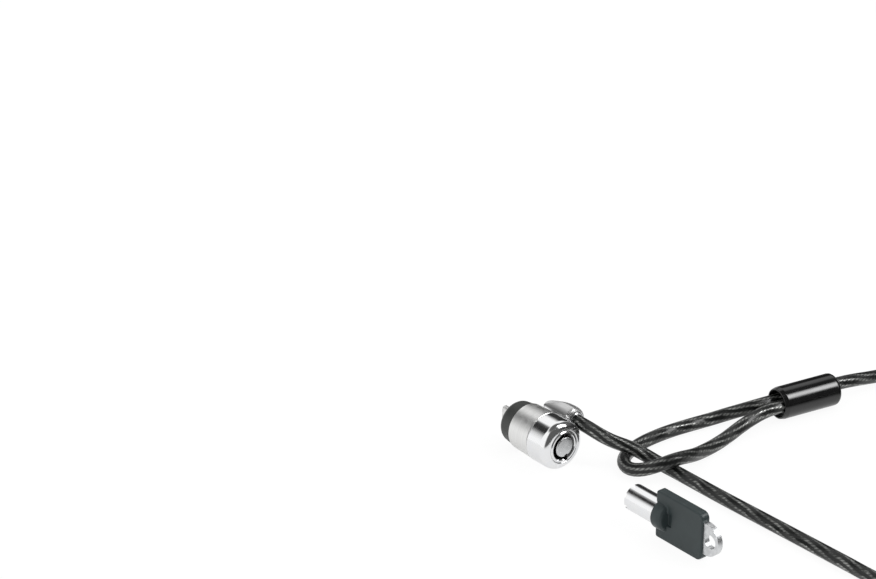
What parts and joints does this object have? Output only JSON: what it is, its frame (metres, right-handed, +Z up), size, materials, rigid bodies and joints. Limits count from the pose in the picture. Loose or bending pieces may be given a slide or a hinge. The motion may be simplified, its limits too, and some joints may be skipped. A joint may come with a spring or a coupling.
{
  "type": "laptop cable lock",
  "caption": "Laptop cable lock: chromed round lock head with a T-bar nose and swivelling coated steel cable ending in a crimped loop, with its tubular key",
  "frame": {"origin": "centre of the nose's flat front face, on the barrel's axis", "axes": "+Y along the barrel's axis towards the device that is locked, +Z up, +X towards the cable lug; the part lies on a surface at z = -9.1 mm"},
  "size_m": [0.1701, 0.1889, 0.0182],
  "materials": {
    "bright_chrome": "polished chrome plate",
    "satin_steel": "satin, with fine lines along the barrel",
    "plain_steel": "bright turned steel",
    "key_steel": "plated steel plate",
    "brass": "turned brass",
    "aluminium": "pressed aluminium",
    "black_rubber": "matt moulded rubber",
    "coated_cable": "smoky clear coat over steel strands",
    "black_gloss_plastic": "smooth glossy sleeve",
    "grey_plastic": "dark blue-grey moulded plastic",
    "black_fabric": "woven hook-and-loop strap"
  },
  "bodies": {
    "cable": {"cable_ferrule": "plain_steel", "cable_lead": "coated_cable", "cable_coil": "coated_cable", "cable_return": "coated_cable", "cable_loop": "coated_cable", "loop_sleeve": "black_gloss_plastic", "crimp_ferrule": "aluminium", "coil_tie": "black_fabric"},
    "head": {"head_housing": "bright_chrome", "ear_bush": "bright_chrome", "grip_collar": "satin_steel", "nose_bumper": "black_rubber", "front_plate": "plain_steel", "locating_pins": "plain_steel", "lock_sleeve": "bright_chrome", "driver_block": "brass", "block_pin": "plain_steel", "driver_pins": "brass", "pin_springs": "plain_steel"},
    "plug": {"spindle": "bright_chrome", "rotor": "brass", "t_bar": "plain_steel"},
    "key_pin_1": {"key_pin_1": "brass"},
    "key_pin_2": {"key_pin_2": "brass"},
    "key_pin_3": {"key_pin_3": "brass"},
    "key_pin_4": {"key_pin_4": "brass"},
    "key_pin_5": {"key_pin_5": "brass"},
    "key_pin_6": {"key_pin_6": "brass"},
    "key_pin_7": {"key_pin_7": "brass"},
    "key": {"key_tube": "bright_chrome", "key_grip": "grey_plastic", "key_bow": "key_steel"}
  },
  "joints": [
    {"name": "head_swivel", "type": "hinge", "parent": "cable", "child": "head", "pos_m": [0.01167, -0.0169, 0.00357], "axis": [0, 1, 0], "continuous": true},
    {"name": "plug_turn", "type": "hinge", "parent": "head", "child": "plug", "pos_m": [0, -0.012, 0], "axis": [0, 1, 0], "range_deg": [0, 90]},
    {"name": "key_pin_1_press", "type": "slide", "parent": "plug", "child": "key_pin_1", "axis": [0, 1, 0], "range_m": [0, 0.0022], "stiffness_N_per_m": 50},
    {"name": "key_pin_2_press", "type": "slide", "parent": "plug", "child": "key_pin_2", "axis": [0, 1, 0], "range_m": [0, 0.001], "stiffness_N_per_m": 50},
    {"name": "key_pin_3_press", "type": "slide", "parent": "plug", "child": "key_pin_3", "axis": [0, 1, 0], "range_m": [0, 0.0016], "stiffness_N_per_m": 50},
    {"name": "key_pin_4_press", "type": "slide", "parent": "plug", "child": "key_pin_4", "axis": [0, 1, 0], "range_m": [0, 0.0006], "stiffness_N_per_m": 50},
    {"name": "key_pin_5_press", "type": "slide", "parent": "plug", "child": "key_pin_5", "axis": [0, 1, 0], "range_m": [0, 0.0019], "stiffness_N_per_m": 50},
    {"name": "key_pin_6_press", "type": "slide", "parent": "plug", "child": "key_pin_6", "axis": [0, 1, 0], "range_m": [0, 0.0013], "stiffness_N_per_m": 50},
    {"name": "key_pin_7_press", "type": "slide", "parent": "plug", "child": "key_pin_7", "axis": [0, 1, 0], "range_m": [0, 0.0008], "stiffness_N_per_m": 50},
    {"name": "key_lift", "type": "slide", "parent": "cable", "child": "key", "axis": [0, 0, 1], "range_m": [0, 0.06]}
  ]
}
